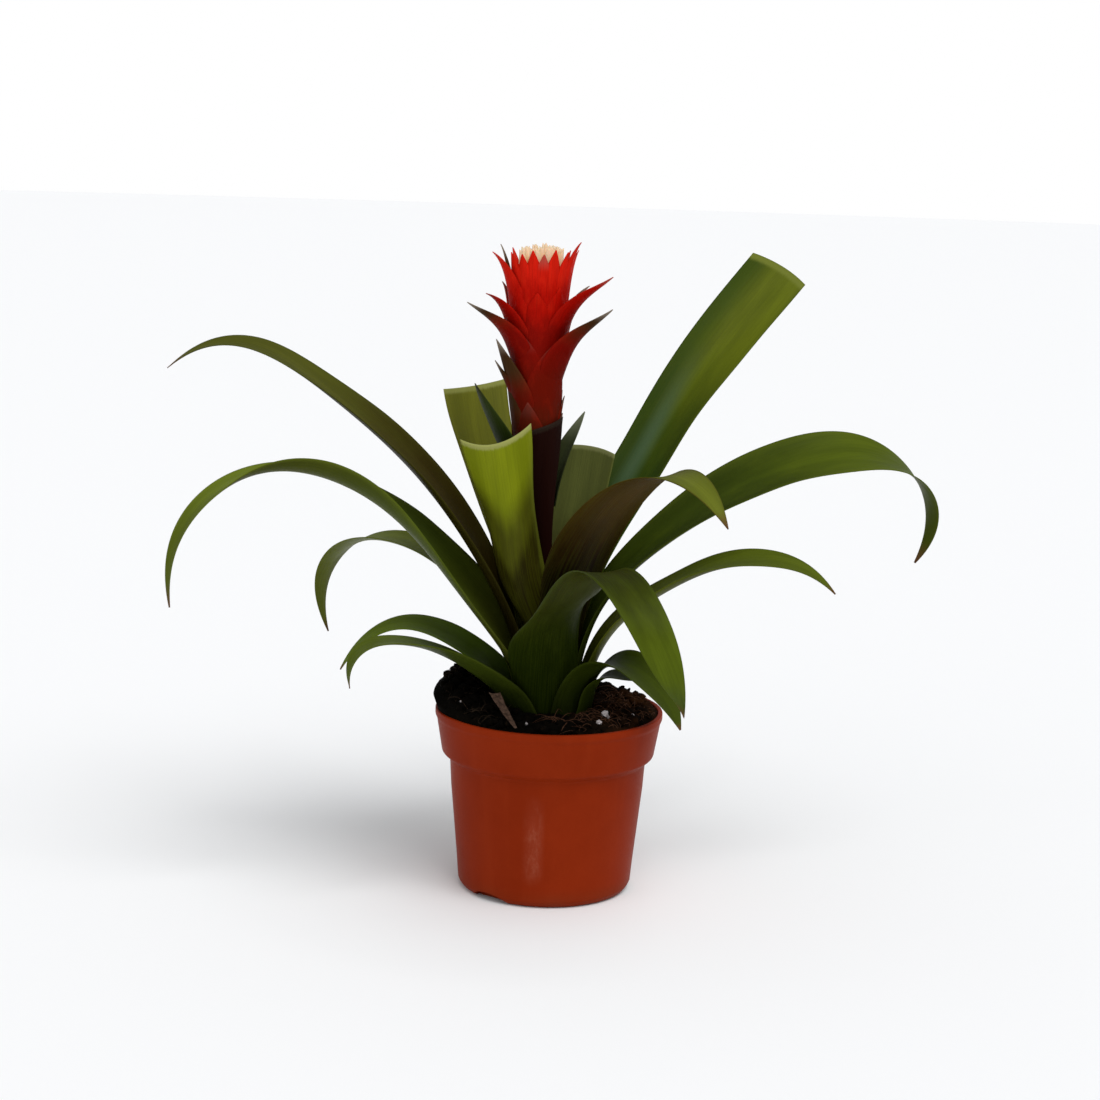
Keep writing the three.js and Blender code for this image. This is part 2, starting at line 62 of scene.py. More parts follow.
# One entry a leaf. layer: 0 is innermost. lean: angle from the vertical at even steps from base to tip.
# roll: twist at the middle and the tip. channel: half the angle that the hollow section turns through.
# open: share of the length where the wrapped base has become a blade. cut: trimmed, with no point;
# slant and dip tilt and hollow the trimmed end, in millimetres. tone: key of LEAF_TONES. rolls, bends and
# widths: twist, half angle and width at even steps. wrap: half angle of the base. swing: turn at the tip.
LEAVES = {
    "leaf_left_high": dict(
        azimuth=184, layer=4, length=230, width=27, wrap=48, channel=45, roll=(-14, -20),
        lean=(0, 22, 35.1, 49.3, 62.3, 131), tone="dusky"),
    "leaf_left_long": dict(
        azimuth=191, swing=4, layer=5, length=228, rolls=(0, -24, -13, 13, -8, -28),
        bends=(44, 44, 43, 51, 24, 24), widths=(16, 32.5, 31, 27, 27, 27),
        lean=(0, 35.4, 44.4, 73, 130, 185), tone="broad"),
    "leaf_left_back": dict(
        azimuth=155, swing=-13, layer=6, length=179, width=24, channel=27, open=0.23,
        lean=(0, 28.7, 59.3, 92.5, 135, 189), tone="back"),
    "leaf_left_low_back": dict(
        azimuth=170, swing=11, layer=8, length=98, width=19, channel=12, open=0.44, roll=(-13, -11),
        lean=(0, 31.5, 56.8, 76.8, 122, 151), tone="left"),
    "leaf_left_low_front": dict(
        azimuth=203, swing=9, layer=9, length=101, width=24, channel=24, open=0.66, roll=(2, 4),
        lean=(0, 45, 58, 74, 100, 184), tone="green"),
    "leaf_front_cut": dict(
        azimuth=228, swing=-3, layer=2, length=126, rolls=(0, -3, 14, 29, 41), bends=(62, 73, 74, 60, 30),
        widths=(15, 22.6, 27, 25, 29), lean=(0, 2, 32, 11, 12, 11), cut=True, slant=1.7, dip=4,
        tone="pale"),
    "leaf_left_cut_back": dict(
        azimuth=132, swing=-10, layer=3, length=147, width=32, wrap=48, channel=49, roll=(9, 6),
        lean=(0, 8, 32, 33, 33, 31), cut=True, slant=-5, tone="olive"),
    "leaf_right_cut_back": dict(
        azimuth=63, swing=3, layer=1, length=114, width=24, wrap=44, channel=52, open=0.6, roll=(-2, -4),
        lean=(0, 0, 14, 22, 24, 22), cut=True, slant=1.5, dip=-2, tone="grey"),
    "leaf_right_cut_high": dict(
        azimuth=45.5, layer=2, length=227, width=26, wrap=46, channel=39, open=0.42, roll=(12, 45),
        lean=(0, 15, 40.6, 39.7, 48.7, 51.7), cut=True, slant=-1.5, dip=-3, tone="gloss"),
    "leaf_right_front_dark": dict(
        azimuth=-66.5, swing=10.5, layer=3, length=180, width=38, wrap=44, channel=20, open=0.63,
        roll=(10, 3), lean=(0, 10, 33.5, 49, 79, 152), tone="purple"),
    "leaf_right_long": dict(
        azimuth=7, swing=10, layer=4, length=246, width=34, wrap=48, open=0.7,
        rolls=(0, 3, 10, 18, 27, 32, 5, -40), lean=(0, 14, 43.2, 55.8, 69, 91, 140, 208), tone="green"),
    "leaf_right_mid": dict(
        azimuth=2, swing=-2, layer=7, length=143, width=22, wrap=46, channel=36, open=0.4, roll=(-1, 37),
        lean=(0, 19, 52, 65, 94, 137), tone="lower"),
    "leaf_front_right": dict(
        azimuth=-91, swing=23, layer=6, length=205, rolls=(0, 26, 23, 8, -4, 58),
        bends=(55, 50, 14, 15, 12, 9), widths=(23, 34, 25, 23, 29, 32), lean=(0, 43, 66, 61, 149, 228),
        tone="folded"),
    "leaf_right_front_low": dict(
        azimuth=-35, swing=-2, layer=8, length=79, width=27, channel=34, roll=(1, 10),
        lean=(0, 11, 54, 107, 127, 151), tone="deep"),
    "leaf_front_right_small": dict(
        azimuth=-20, swing=2, layer=9, length=41, width=17, wrap=40, channel=26, roll=(-1, 16),
        lean=(0, 6, 12, 48, 95, 98), tone="deep"),
    "leaf_back_mid": dict(
        azimuth=82, layer=5, length=164, width=25, wrap=50, lean=(0, 16, 37, 74, 119, 153), tone="green"),
    "leaf_back_wide": dict(
        azimuth=98, layer=7, length=122, width=24, wrap=48, channel=24, lean=(0, 26, 44, 78, 116, 145),
        tone="green"),
    "leaf_back_low": dict(
        azimuth=83, layer=9, length=82, width=21, wrap=38, lean=(0, 15, 47, 82, 119, 148), tone="deep"),
    "leaf_inner_dark": dict(
        azimuth=-98, swing=40, layer=0.4, length=124, bends=(44, 36, 26, 24, 30, 42),
        widths=(8, 7, 6.5, 6.5, 10, 14.5), lean=(0, 0, 3, 4.5, 3.5, 2), cut=True, on_stalk=True, slant=3,
        tone="maroon"),
}

# Small leaves that clasp the stalk under the flower head. tip: radius and height of the point.
STALK_BRACTS = {
    "stalk_bract_left": dict(azimuth=207, foot=(5.5, 150), hug=(11.6, 170), tip=(26.2, 201), width=20,
                             pale=0),
    "stalk_bract_right": dict(azimuth=45, foot=(6, 152), hug=(11, 168), tip=(27, 188), width=9.5, pale=1),
}

# Bracts of the flower head, from the lowest to the crown: azimuth, foot height, tip radius, tip height,
# width, how early the bract leaves the head (0 to 1), and dryness of its tip
HEAD_BRACTS = (
    (252, 151, 10, 194, 17, 0.7, 0.1), (18, 151, 10.6, 198, 17, 0.7, 0.3),
    (132, 151, 11, 196, 18, 0.7, 0.4), (198, 158, 12.4, 207, 13, 0.62, 1.2),
    (1, 170, 11, 196, 8, 0.7, 0.6), (352, 166, 10.4, 189.5, 8, 0.7, 0.4),
    (202, 184, 17.3, 209.5, 11, 0.56, 1), (216, 178, 19.3, 218, 18, 0.56, 1.3),
    (298, 176, 12.3, 216, 19, 0.7, 0.1), (246, 180, 12.1, 219, 18, 0.7, 0.1),
    (62, 176, 14, 214, 19, 0.7, 0.6), (112, 180, 17, 221, 18, 0.8, 0.9),
    (324, 189, 34.7, 231.2, 20, 0.76, 1), (218, 199, 33.8, 232.3, 17, 0.79, 1),
    (268, 197, 12.5, 236, 18, 0.7, 0), (310, 199, 12.5, 238, 17, 0.7, 0),
    (228, 199, 12.6, 237, 16, 0.7, 0), (28, 198, 22, 238, 17, 0.84, 0.8),
    (76, 196, 24, 234, 17, 0.86, 0.9), (124, 198, 23, 237, 17, 0.86, 0.8),
    (327, 207, 33.2, 243.2, 16, 0.77, 0.3), (216, 204, 24.6, 235.4, 17, 0.88, 0.2),
    (158, 203, 15.5, 239, 15, 0.86, 0.5), (214, 212, 21.6, 251, 15, 0.84, 0.1),
    (166, 214, 15.8, 253.4, 9, 0.8, 1), (332, 213, 17.6, 255.4, 13, 0.84, 0.1),
    (222, 213, 14.6, 251, 12, 0.74, 0), (241, 212, 13.8, 250.5, 12, 0.74, 0),
    (259, 212, 13.6, 252, 12, 0.74, 0), (277, 212, 13.6, 250.6, 12, 0.74, 0.3),
    (296, 212, 13.8, 252.4, 12, 0.74, 0), (318, 213, 14.4, 251.6, 12, 0.74, 0),
    (10, 214, 15, 252, 9, 0.8, 0.1), (38, 214, 14.8, 251.5, 10, 0.8, 0.1),
    (72, 214, 15, 252.5, 10, 0.8, 0.2), (104, 214, 15.2, 251.5, 10, 0.8, 0),
    (136, 214, 15, 252, 10, 0.8, 0.1),
)
# Radius and height of the head's core
HEAD_CORE = ((4.2, 150), (6.2, 158), (7.5, 168), (7.8, 186), (8.3, 200), (9.8, 212), (10.2, 222), (9.8, 234),
             (7.8, 238))
FLOWERS = dict(foot=238.6, ring=5.4, top=254, tubes=17)
GOLDEN_ANGLE = 137.5     # turn from each flower to the next
# White grains in the peat: azimuth, distance from the middle, and size
PERLITE = ((319, 29, 1.5), (304, 34.5, 1.1), (296, 35, 0.8), (318, 31, 0.7), (282, 37, 0.6), (335, 36, 0.8),
           (20, 34, 0.9), (75, 30, 0.8), (120, 37, 1.0), (205, 38, 0.5), (255, 33, 0.5))
STRAW = dict(foot=(-12.4, -39), top=(-21.2, -26), rise=10, width=4.6)

# Camera, as in the photograph: its place and aim, its roll and its lens
CAMERA_TARGET = Vector((-1.6, 0, 135.3))
CAMERA_DISTANCE, CAMERA_DOWN, CAMERA_ROLL = 900, 9.8, 1.8
CAMERA_LENS, CAMERA_SENSOR = 75.2, 36
# Soft lights: where each one comes from, its angular width in degrees, and its strength
LIGHTS = {"key": ((0.45, -0.6, 1.1), 45, 1.9), "fill": ((-0.6, -1.1, 0.35), 70, 0.6)}
FLOOR_RADIUS = 12       # metres

# Rows along a strip and columns across it
LEAF_GRID, STALK_BRACT_GRID, HEAD_BRACT_GRID = (150, 20), (70, 14), (36, 12)


# Numbers and curves


def smooth(x):
    x = np.clip(x, 0, 1)
    return x * x * (3 - 2 * x)


def mix(a, b, t):
    return a + (b - a) * t


def bell(angle, centre, spread):
    off = (angle - centre + 540) % 360 - 180
    return np.exp(-((off / spread) ** 2))


def on_circle(r, azimuth):
    """x and y at a radius and an azimuth."""
    a = math.radians(azimuth)
    return r * math.cos(a), r * math.sin(a)


def bezier(points, t):
    """Place at t (0 to 1) on the curve that the points steer."""
    while len(points) > 1:
        points = [mix(a, b, t) for a, b in zip(points, points[1:])]
    return points[0]


def unit(v):
    return v / np.linalg.norm(v, axis=-1, keepdims=True)


def running(steps):
    """Sums of the steps so far, from 0."""
    return np.concatenate([[0], np.cumsum(steps)])


def along(stations, t):
    """Values at t (0 to 1) on a smooth curve through evenly spaced stations."""
    v = np.asarray(stations, float)
    last = len(v) - 1
    i = np.minimum((t * last).astype(int), last - 1)
    w = t * last - i
    p0, p1, p2, p3 = (v[np.clip(i + k, 0, last)] for k in (-1, 0, 1, 2))
    v0, v1 = (p2 - p0) / 2, (p3 - p1) / 2
    return (2 * p1 - 2 * p2 + v0 + v1) * w**3 + (3 * p2 - 3 * p1 - 2 * v0 - v1) * w**2 + v0 * w + p1


def stalk_shift(z):
    """Sideways drift of the stalk's middle at height z."""
    return STALK["drift"] * smooth((z - STALK["foot"]) / STALK["drift_height"])


# Strips: leaves and bracts

FINE = 400     # steps of a strip's centre line


def strip_frames(spec):
    """Centre line of a strip with its sideways and inward directions, and its section, at FINE steps."""
    t = np.linspace(0, 1, FINE + 1)
    if "path" in spec:
        rz = bezier(np.array(spec["path"], float), t[:, None])
        walked = running(np.hypot(*np.diff(rz, axis=0).T))
        r, z = (np.interp(t * walked[-1], walked, column) for column in rz.T)
    else:
        tilt = np.radians(along(spec["lean"], (t[1:] + t[:-1]) / 2))
        step = spec["length"] / FINE
        r = spec["radius"] + running(np.sin(tilt) * step)
        z = spec["foot"] + running(np.cos(tilt) * step)
    turn = np.radians(spec["azimuth"] + spec.get("swing", 0) * t * t)
    shift = stalk_shift(z) if spec.get("on_stalk") else 0
    centre = np.stack([r * np.cos(turn) + shift, r * np.sin(turn), z], 1)
    tangent = unit(np.gradient(centre, axis=0))
    side = np.stack([-np.sin(turn), np.cos(turn), 0 * turn], 1)
    side = unit(side - (side * tangent).sum(1)[:, None] * tangent)
    inward = np.cross(tangent, side)
    mid, tip = spec.get("roll", (0, 0))
    twist = mid * smooth(2 * t) + (tip - mid) * smooth(2 * t - 1)
    twist = np.radians(along(spec["rolls"], t) if "rolls" in spec else twist)[:, None]
    across = side * np.cos(twist) + inward * np.sin(twist)
    face = inward * np.cos(twist) - side * np.sin(twist)
    grown = smooth(t / spec.get("open", 0.35))
    wrap, channel = np.radians(spec.get("wrap", 56)), np.radians(spec.get("channel", 30))
    bend = mix(wrap, channel, grown) * (1 - spec.get("flatten", 0.6) * smooth((t - 0.45) / 0.55))
    if "bends" in spec:
        bend = np.radians(np.maximum(along(spec["bends"], t), 8))
    start = spec.get("taper_from", 0.4)
    taper = 0 * t if spec.get("cut") else np.clip((t - start) / (1 - start), 0, 1)
    full = along(spec["widths"], t) if "widths" in spec else mix(2 * wrap * r[0], spec["width"], grown)
    breadth = full * (1 - taper ** spec.get("taper_power", 1.8)) + spec.get("tip_width", 0.7) * taper
    return dict(t=t, centre=centre, across=across, face=face, bend=bend, breadth=breadth)


def sheet_faces(rows, columns, first):
    """Faces that close a thin sheet: its two sides, one grid of corners each, and its four edges."""
    line, count = columns + 1, (rows + 1) * (columns + 1)
    a = (np.arange(rows)[:, None] * line + np.arange(columns)).ravel() + first
    left, foot = np.arange(rows) * line + first, np.arange(columns) + first
    quads = lambda at, one, other: np.stack([at, at + one, at + one + other, at + other], 1)
    faces = [*quads(a, line, 1), *quads(a, line, 1)[:, ::-1] + count]
    for edge, step, sign in ((left, line, 1), (left + columns, line, -1), (foot, 1, -1),
                             (foot + rows * line, 1, 1)):
        faces.extend(quads(edge, count, step)[:, ::sign])
    return faces


def strip_mesh(name, specs, rows, columns):
    """One mesh of closed strips. Each corner knows how far along, across and on which face it lies."""
    corners, faces, marks = [], [], []
    for number, spec in enumerate(specs):
        f = strip_frames(spec)
        length = np.linalg.norm(np.diff(f["centre"], axis=0), axis=1).sum()
        even = np.linspace(-1, 1, columns + 1)
        t, q = np.meshgrid(np.linspace(0, 1, rows + 1), mix(even, np.sin(even * math.pi / 2), 0.35),
                           indexing="ij")
        end = (spec.get("slant", 0) * q + spec.get("dip", 0) * (q * q - 1)) / length
        s = np.clip(t + end * smooth((t - 0.75) / 0.25), 0, 1.05)
        at = lambda key: np.stack([np.interp(s, f["t"], v) for v in f[key].T], -1)
        across, face, ahead = at("across"), at("face"), unit(f["centre"][-1] - f["centre"][-2])
        over = np.clip(s - 1, 0, 1)[..., None] * length
        centre = at("centre") + over * ahead
        bend, breadth = np.interp(s, f["t"], f["bend"]), np.interp(s, f["t"], f["breadth"])
        bow = (breadth / (2 * bend))[..., None]
        sine, cosine = np.sin(bend * q)[..., None], np.cos(bend * q)[..., None]
        middle = centre + across * bow * sine + face * bow * (1 - cosine)
        normal = face * cosine - across * sine
        wave = spec.get("wave", 0) * q**2 * smooth((t - 0.3) / 0.3)
        wave = wave * np.sin(t * length / 9.5 + 2.1 * np.sign(q) + number * 1.7 + spec["azimuth"])
        rib = spec.get("rib", 0) * np.exp(-((q * breadth / 1.6) ** 2)) * smooth(t * 4) * (1 - t)
        thick, edge = spec.get("thick", 0.8), spec.get("edge", 0.3)
        half = mix(mix(thick, edge, np.abs(q) ** 3), edge, 0 * t if spec.get("cut") else t**3) / 2
        first = len(corners)
        for sign in (1, -1):
            surface = middle + normal * (wave - rib * (sign > 0) + sign * half)[..., None]
            corners.extend(surface.reshape(-1, 3) * MM)
            marks.extend(np.stack([t, q, 0 * s + (sign > 0), q * breadth / 2, s * length,
                                   0 * s + number], -1).reshape(-1, 6))
        faces.extend(sheet_faces(rows, columns, first))
    marks = np.array(marks)
    mesh = new_mesh(name, corners, faces)
    for mark, values in zip(("along", "across", "upper"), marks.T):
        set_mark(mesh, mark, values)
    set_mark(mesh, "grain", marks[:, 3:])
    corner_of = np.empty(len(mesh.loops), int)
    mesh.loops.foreach_get("vertex_index", corner_of)
    uv = mesh.uv_layers.new(name="strip")
    uv.uv.foreach_set("vector", np.stack([marks[corner_of, 1] / 2 + 0.5, marks[corner_of, 0]], 1)
                      .astype(np.float32).ravel())
    return mesh


def new_mesh(name, corners, faces):
    mesh = bpy.data.meshes.new(name)
    mesh.from_pydata([tuple(c) for c in corners], [], [tuple(int(i) for i in f) for f in faces])
    mesh.validate()
    work = bmesh.new()
    work.from_mesh(mesh)
    bmesh.ops.recalc_face_normals(work, faces=work.faces)
    work.to_mesh(mesh)
    work.free()
    mesh.polygons.foreach_set("use_smooth", [True] * len(mesh.polygons))
    return mesh


def band(low, high, count):
    """Faces between two rings of count corners, which start at low and high."""
    turns = [(i, (i + 1) % count) for i in range(count)]
    return [(low + i, low + j, high + j, high + i) for i, j in turns]


def fan(ring, middle, count):
    return [(ring + i, ring + (i + 1) % count, middle) for i in range(count)]


def set_mark(mesh, name, values):
    """Stores a number, or a row of three, for each corner."""
    values = np.asarray(values, np.float32)
    kind, field = ("FLOAT", "value") if values.ndim == 1 else ("FLOAT_VECTOR", "vector")
    mesh.attributes.new(name, kind, "POINT").data.foreach_set(field, values.ravel())


def corners_of(mesh):
    """Places of a mesh's corners, in millimetres."""
    return np.array([v.co for v in mesh.vertices]) / MM


def add_part(corners, faces, part_corners, part_faces):
    """Adds the corners and faces of one more part to those of a mesh."""
    first = len(corners)
    corners.extend(part_corners)
    faces.extend([[first + i for i in face] for face in part_faces])


def put(name, data):
    """A new object in the scene."""
    made = bpy.data.objects.new(name, data)
    bpy.context.scene.collection.objects.link(made)
    return made


def piece(name, mesh, material, slot, *nodes):
    """Shows a mesh as one piece of the object, in place of the named nodes."""
    made = put(name, mesh)
    mesh.materials.clear()
    mesh.materials.append(material)
    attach(made, "root")
    if nodes:
        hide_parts(*nodes)
    return made


# Materials. Colours are red, green and blue in thousandths.


def solid_colour(colour):
    """Red, green and blue in thousandths as an opaque colour."""
    return (*(v / 1000 for v in colour), 1)


class Surface:
    """A node material built step by step. Sockets are passed from one step to the next."""

    def __init__(self, name, roughness=0.5, specular=0.3, **plain):
        self.material = bpy.data.materials.new(name)
        self.material.use_nodes = True
        self.tree = self.material.node_tree
        self.out = self.tree.nodes["Principled BSDF"]
        self.out.inputs["Roughness"].default_value = roughness
        self.out.inputs["Specular IOR Level"].default_value = specular
        for socket, value in plain.items():
            self.out.inputs[socket.replace("_", " ")].default_value = value

    def node(self, kind, inputs=(), output=0, **settings):
        made = self.tree.nodes.new("ShaderNode" + kind)
        for key, value in settings.items():
            setattr(made, key, value)
        for key, value in dict(inputs).items():
            self.feed(made.inputs[key], value)
        return made.outputs[output]

    def feed(self, socket, value):
        if isinstance(value, bpy.types.NodeSocket):
            self.tree.links.new(value, socket)
        else:
            socket.default_value = solid_colour(value) if socket.type == "RGBA" else value

    def mark(self, name, output="Fac"):
        return self.node("Attribute", output=output, attribute_name=name)

    def math(self, operation, a, b=0):
        return self.node("Math", {0: a, 1: b}, operation=operation)

    def plus(self, a, b):
        return self.math("ADD", a, b)

    def minus(self, a, b):
        return self.math("SUBTRACT", a, b)

    def times(self, first, *others):
        for factor in others:
            first = self.math("MULTIPLY", first, factor)
        return first

    def place(self):
        return self.node("TexCoord", output="Object")

    def noise(self, vector, scale, detail=3, roughness=0.5, stretch=(1, 1, 1)):
        if stretch != (1, 1, 1):
            vector = self.node("Mapping", {"Vector": vector, "Scale": stretch})
        return self.node("TexNoise", {"Vector": vector, "Scale": scale, "Detail": detail,
                                      "Roughness": roughness})

    def step(self, value, low, high, to_low=0, to_high=1):
        return self.node("MapRange", {"Value": value, "From Min": low, "From Max": high, "To Min": to_low,
                                      "To Max": to_high}, interpolation_type="SMOOTHSTEP")

    def blend(self, share, a, b, how="MIX"):
        made = self.tree.nodes.new("ShaderNodeMix")
        made.data_type, made.blend_type = "RGBA", how
        self.feed(made.inputs[0], share)
        self.feed(made.inputs[6], a)
        self.feed(made.inputs[7], b)
        return made.outputs[2]

    def ramp(self, value, stops):
        made = self.tree.nodes.new("ShaderNodeValToRGB")
        made.color_ramp.interpolation = "EASE"
        while len(made.color_ramp.elements) < len(stops):
            made.color_ramp.elements.new(0.5)
        for element, (place, colour) in zip(made.color_ramp.elements, stops):
            element.position = place
            element.color = solid_colour(colour)
        self.feed(made.inputs[0], value)
        return made.outputs[0]

    def finish(self, colour, roughness=None, height=None, depth=0.0002, strength=0.5):
        self.feed(self.out.inputs["Base Color"], colour)
        if roughness is not None:
            self.feed(self.out.inputs["Roughness"], roughness)
        if height is not None:
            bump = self.node("Bump", {"Height": height, "Distance": depth, "Strength": strength})
            self.feed(self.out.inputs["Normal"], bump)
        return self.material


def tones(sheath_and_shade, middle, blade, edge, outer, **more):
    return dict(more, sheath_and_shade=sheath_and_shade, middle=middle, blade=blade, edge=edge, outer=outer)


# Leaf colours, of the sheath, the middle, the blade, its margin and the outer face. The dark sheath and
# middle colours are partly the leaf's own darker base and partly painted shade deep in the rosette.
# grown: share of the length where the blade's colour is reached. low, turn: shares where the sheath's colour
# ends and where the middle colour lies. tip: colour at the point. patchy: how unevenly the colours change.
# flap: how much further the sheath's colour climbs at the margins. lee: side of the blade given painted
# shade.
# gloss: strength of the painted highlight, a bluish reflection, low on the blade. rim: colour of a trimmed
# end.
# shine: of the reflection.
LEAF_TONES = {
    "green": tones((12, 18, 2), (26, 40, 3), (70, 96, 5), (85, 107, 7), (50, 66, 5), grown=0.74),
    "back": tones((20, 30, 2), (80, 100, 8), (110, 135, 12), (115, 135, 15), (110, 135, 12),
                  turn=0.4, grown=0.7),
    "broad": tones((70, 75, 9), (55, 78, 7), (130, 170, 13), (130, 162, 15), (55, 65, 5),
                   turn=0.4, grown=0.66, tip=(72, 92, 7)),
    "gloss": tones((10, 18, 2), (20, 42, 3), (90, 110, 5), (60, 80, 4), (50, 65, 5),
                   turn=0.44, grown=0.84, gloss=0.42, lee=1, rim=(130, 150, 20)),
    "deep": tones((3, 5, 1), (14, 22, 1), (42, 60, 4), (52, 70, 6), (35, 50, 3), turn=0.42, grown=0.75),
    "left": tones((8, 13, 1), (75, 125, 6), (100, 145, 7), (100, 140, 10), (40, 56, 4),
                  turn=0.38, grown=0.7),
    "folded": tones((9, 16, 1), (21, 25, 2), (84, 117, 6), (60, 85, 6), (40, 44, 3),
                    turn=0.7, grown=0.9, tip=(45, 72, 6)),
    "lower": tones((12, 18, 2), (85, 95, 8), (76, 100, 7), (85, 105, 10), (50, 60, 4), turn=0.3, grown=0.6),
    "dusky": tones((12, 7, 1), (36, 24, 3), (75, 80, 9), (55, 60, 7), (35, 35, 5), grown=0.76),
    "pale": tones((20, 16, 2), (28, 22, 4), (190, 226, 6), (190, 215, 20), (190, 226, 6),
                  turn=0.65, grown=0.79, flap=0.2, patchy=0.05),
    "olive": tones((30, 30, 5), (62, 65, 7), (115, 120, 11), (120, 120, 12), (60, 65, 7),
                   grown=0.6, rim=(200, 210, 50)),
    "grey": tones((20, 20, 3), (36, 38, 7), (88, 100, 24), (85, 94, 18), (50, 58, 10),
                  turn=0.6, grown=0.88, rim=(160, 170, 60)),
    "purple": tones((3, 1, 0.4), (58, 29, 4), (112, 130, 13), (60, 45, 6), (55, 29, 4),
                    low=0.36, turn=0.68, grown=0.87, shine=0.02, patchy=0.1),
    "maroon": tones((10, 2, 1), (11, 2, 1), (12, 3, 2), (16, 5, 3), (12, 3, 2),
                    grown=0.6, rim=(20, 12, 8), shine=0.02),
}
DRY_TIP = (100, 45, 18)
CUT_RIM = (300, 310, 90)
# Colour of the painted highlight, a bluish reflection, on the glossy leaf.
GLOSS_HIGHLIGHT = (80, 135, 80)


def leaf_material(tone, cut):
    """Waxy strap leaf: fine lengthwise veins, mottling, a pale margin and a dry tip or a pale cut rim."""
    c = LEAF_TONES[tone]
    s = Surface("leaf_" + tone + ("_cut" if cut else ""), roughness=0.4, specular=c.get("shine", 0.03))
    length, across, upper = map(s.mark, ("along", "across", "upper"))
    grain = s.mark("grain", "Vector")
    mottle = s.noise(grain, 0.09, 4, 0.6, stretch=(1, 0.35, 7))
    veins = s.noise(grain, 1, 2, 0.55, stretch=(2.4, 0.03, 7))
    fine = s.noise(grain, 1, 2, 0.6, stretch=(7, 0.12, 7))
    patchy = c.get("patchy", 0.16)
    place = s.plus(s.minus(length, patchy / 2), s.times(mottle, patchy))
    outward = s.math("ABSOLUTE", across)
    place = s.minus(place, s.times(outward, 0.13 if "flap" in c else 0))
    low, turn = c.get("low", 0.1), c.get("turn", 0.6 * c["grown"])
    # The ramp's dark low end is partly the leaf's own darker base and partly painted shade deep in the
    # rosette.
    body = s.ramp(place, ((low, c["sheath_and_shade"]), (turn, c["middle"]), (c["grown"], c["blade"]),
                          (1, c.get("tip", c["blade"]))))
    outside = tuple(mix(a, b, 0.2) for a, b in zip(c["middle"], c["outer"]))
    outer = s.ramp(place, ((low, c["sheath_and_shade"]), (turn, outside), (c["grown"], c["outer"])))
    colour = s.blend(upper, outer, body)
    if "flap" in c:
        fold = s.minus(place, s.times(outward, c["flap"] - 0.13))
        colour = s.blend(s.step(fold, 0.58, 0.5), colour, c["sheath_and_shade"])
    cloud = s.noise(grain, 0.05, 3, 0.55, stretch=(2.4, 0.22, 7))
    shade = s.ramp(cloud, ((0.32, (840, 840, 840)), (0.68, (1140, 1130, 1100))))
    colour = s.blend(1, colour, shade, "MULTIPLY")
    margin = s.step(outward, 0.8, 1)
    colour = s.blend(s.times(margin, 0.5, length), colour, c["edge"])
    # Painted shade: one side of the blade darkened towards the middle colour.
    if "lee" in c:
        colour = s.blend(s.step(s.times(across, c["lee"]), 0, 0.8, 0, 0.8), colour, c["middle"])
    colour = s.blend(s.step(veins, 0.42, 0.62, 0, 0.22), colour, tuple(0.5 * v for v in c["blade"]))
    colour = s.blend(s.step(mottle, 0.45, 0.75, 0, 0.18), colour, c["edge"])
    # Painted highlight: a bluish reflection painted low along the middle of the blade.
    if "gloss" in c:
        reach = s.times(s.step(length, 0.3, 0.5), s.step(length, 0.8, 0.55))
        painted_gloss = s.times(reach, s.step(s.math("ABSOLUTE", s.minus(across, 0.3)), 0.45, 0))
        colour = s.blend(s.times(painted_gloss, c["gloss"]), colour, GLOSS_HIGHLIGHT)
    reach = s.plus(length, s.times(fine, 0.02))
    start, full, end = (0.99, 1, c.get("rim", CUT_RIM)) if cut else (0.965, 1.01, DRY_TIP)
    colour = s.blend(s.step(reach, start, full), colour, end)
    rough = s.step(mottle, 0.3, 0.8, 0.34, 0.5)
    height = s.plus(veins, s.times(fine, 0.35))
    return s.finish(colour, rough, height, depth=0.00025, strength=0.45)


def bract_material():
    """Red bracts that turn brown low on the head, with dry dark or grey tips."""
    s = Surface("red_bract", roughness=0.5, specular=0.02)
    length, across, dry, rise = map(s.mark, ("along", "across", "dry", "rise"))
    grain = s.mark("grain", "Vector")
    mottle = s.noise(grain, 0.3, 4, 0.6, stretch=(1, 0.5, 9))
    veins = s.noise(grain, 1, 2, 0.55, stretch=(3, 0.1, 9))
    rise = s.plus(rise, s.times(s.minus(mottle, 0.5), 0.2))
    colour = s.ramp(rise, ((0.16, (70, 10, 3)), (0.4, (130, 5, 1)), (0.62, (190, 3, 1)), (0.8, (400, 4, 1)),
                           (0.97, (620, 12, 4))))
    colour = s.blend(s.step(veins, 0.45, 0.7, 0, 0.25), colour, (120, 4, 1))
    colour = s.blend(s.step(mottle, 0.5, 0.8, 0, 0.15), colour, (450, 30, 8))
    margin = s.step(s.math("ABSOLUTE", across), 0.7, 1, 0, 0.25)
    colour = s.blend(margin, colour, (220, 6, 2))
    start = s.plus(length, s.times(s.minus(dry, 1), 0.4))
    full = s.math("MINIMUM", dry, 1)
    brown = s.times(s.step(start, 0.5, 0.84), full)
    colour = s.blend(brown, colour, (50, 22, 7))
    grey = s.times(s.step(length, 0.82, 0.97), s.times(full, 0.8))
    colour = s.blend(grey, colour, (260, 210, 160))
    rough = s.step(mottle, 0.3, 0.8, 0.42, 0.6)
    height = s.plus(veins, s.times(mottle, 0.6))
    return s.finish(colour, rough, height, depth=0.0003, strength=0.5)


